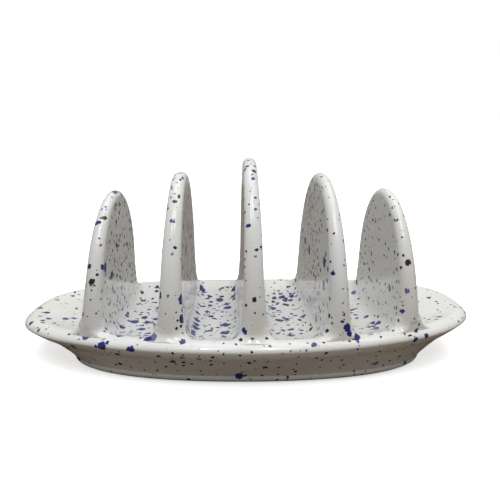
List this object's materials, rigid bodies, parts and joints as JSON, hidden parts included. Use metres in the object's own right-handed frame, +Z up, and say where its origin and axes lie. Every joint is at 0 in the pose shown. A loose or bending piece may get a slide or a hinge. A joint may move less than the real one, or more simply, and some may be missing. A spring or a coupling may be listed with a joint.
{
  "type": "toast rack",
  "caption": "Boat-shaped glazed ceramic tray with a rounded lip, carrying upright arched dividers that hold slices of toast on edge between them.",
  "frame": {"origin": "on the surface that the rack stands on, under the middle of the tray", "axes": "+X along the tray from tip to tip, +Y across it along the slots, +Z up"},
  "size_m": [0.2, 0.0922, 0.089],
  "materials": {
    "speckled_glaze": "gloss",
    "bare_clay": "matte"
  },
  "bodies": {
    "root": {"tray": "speckled_glaze", "divider_1": "speckled_glaze", "divider_2": "speckled_glaze", "divider_3": "speckled_glaze", "divider_4": "speckled_glaze", "divider_5": "speckled_glaze", "foot_ring": "bare_clay"}
  },
  "joints": []
}
